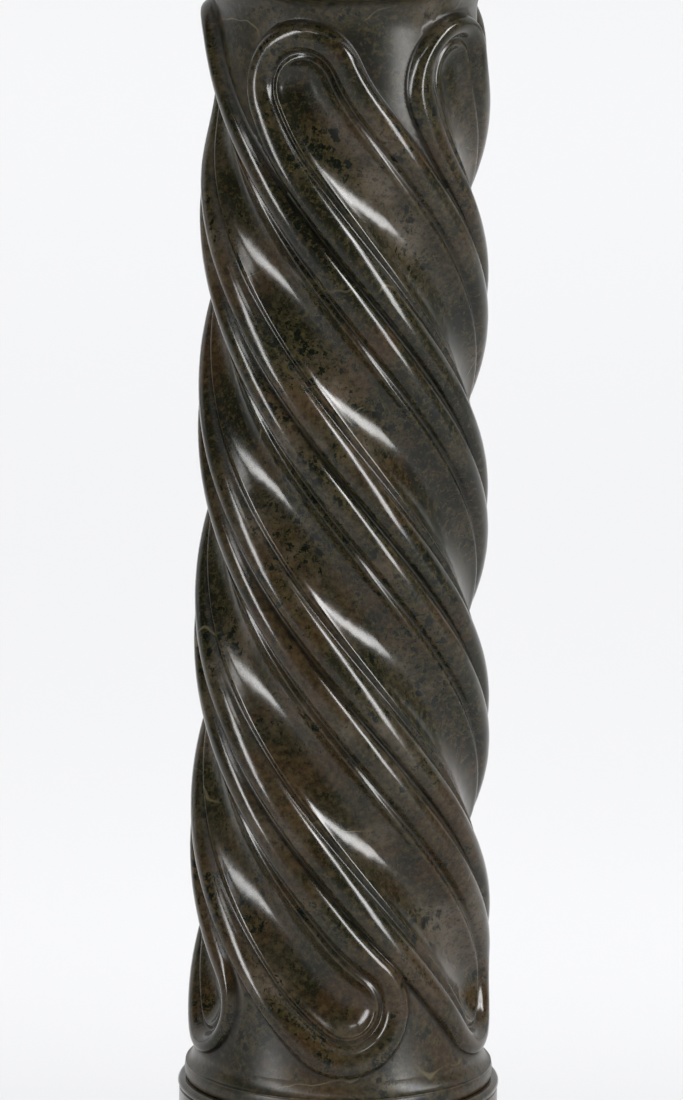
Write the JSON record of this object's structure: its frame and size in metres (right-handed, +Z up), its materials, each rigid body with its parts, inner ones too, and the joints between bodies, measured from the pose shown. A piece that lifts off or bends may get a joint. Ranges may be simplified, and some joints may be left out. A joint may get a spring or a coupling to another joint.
{
  "type": "marble pedestal stand",
  "caption": "Column pedestal of dark marble: spirally fluted shaft with looped rims on a turned base and square plinth, under a turned capital and square top slab.",
  "frame": {"origin": "middle of the plinth's underside, on the shaft's axis", "axes": "+Z up along the shaft's axis; -Y towards the front; X and Y along the slabs' sides"},
  "size_m": [0.29, 0.29, 1.0403],
  "materials": {
    "marble_plinth": "polished dark green-brown serpentine marble",
    "marble_base": "polished dark green-brown serpentine marble",
    "marble_shaft": "polished dark green-brown serpentine marble, clouded with rust brown and black",
    "marble_capital": "polished dark green-brown serpentine marble",
    "marble_top": "polished dark green-brown serpentine marble"
  },
  "bodies": {
    "root": {"plinth": "marble_plinth", "base": "marble_base", "shaft": "marble_shaft", "capital": "marble_capital", "top": "marble_top"}
  },
  "joints": []
}
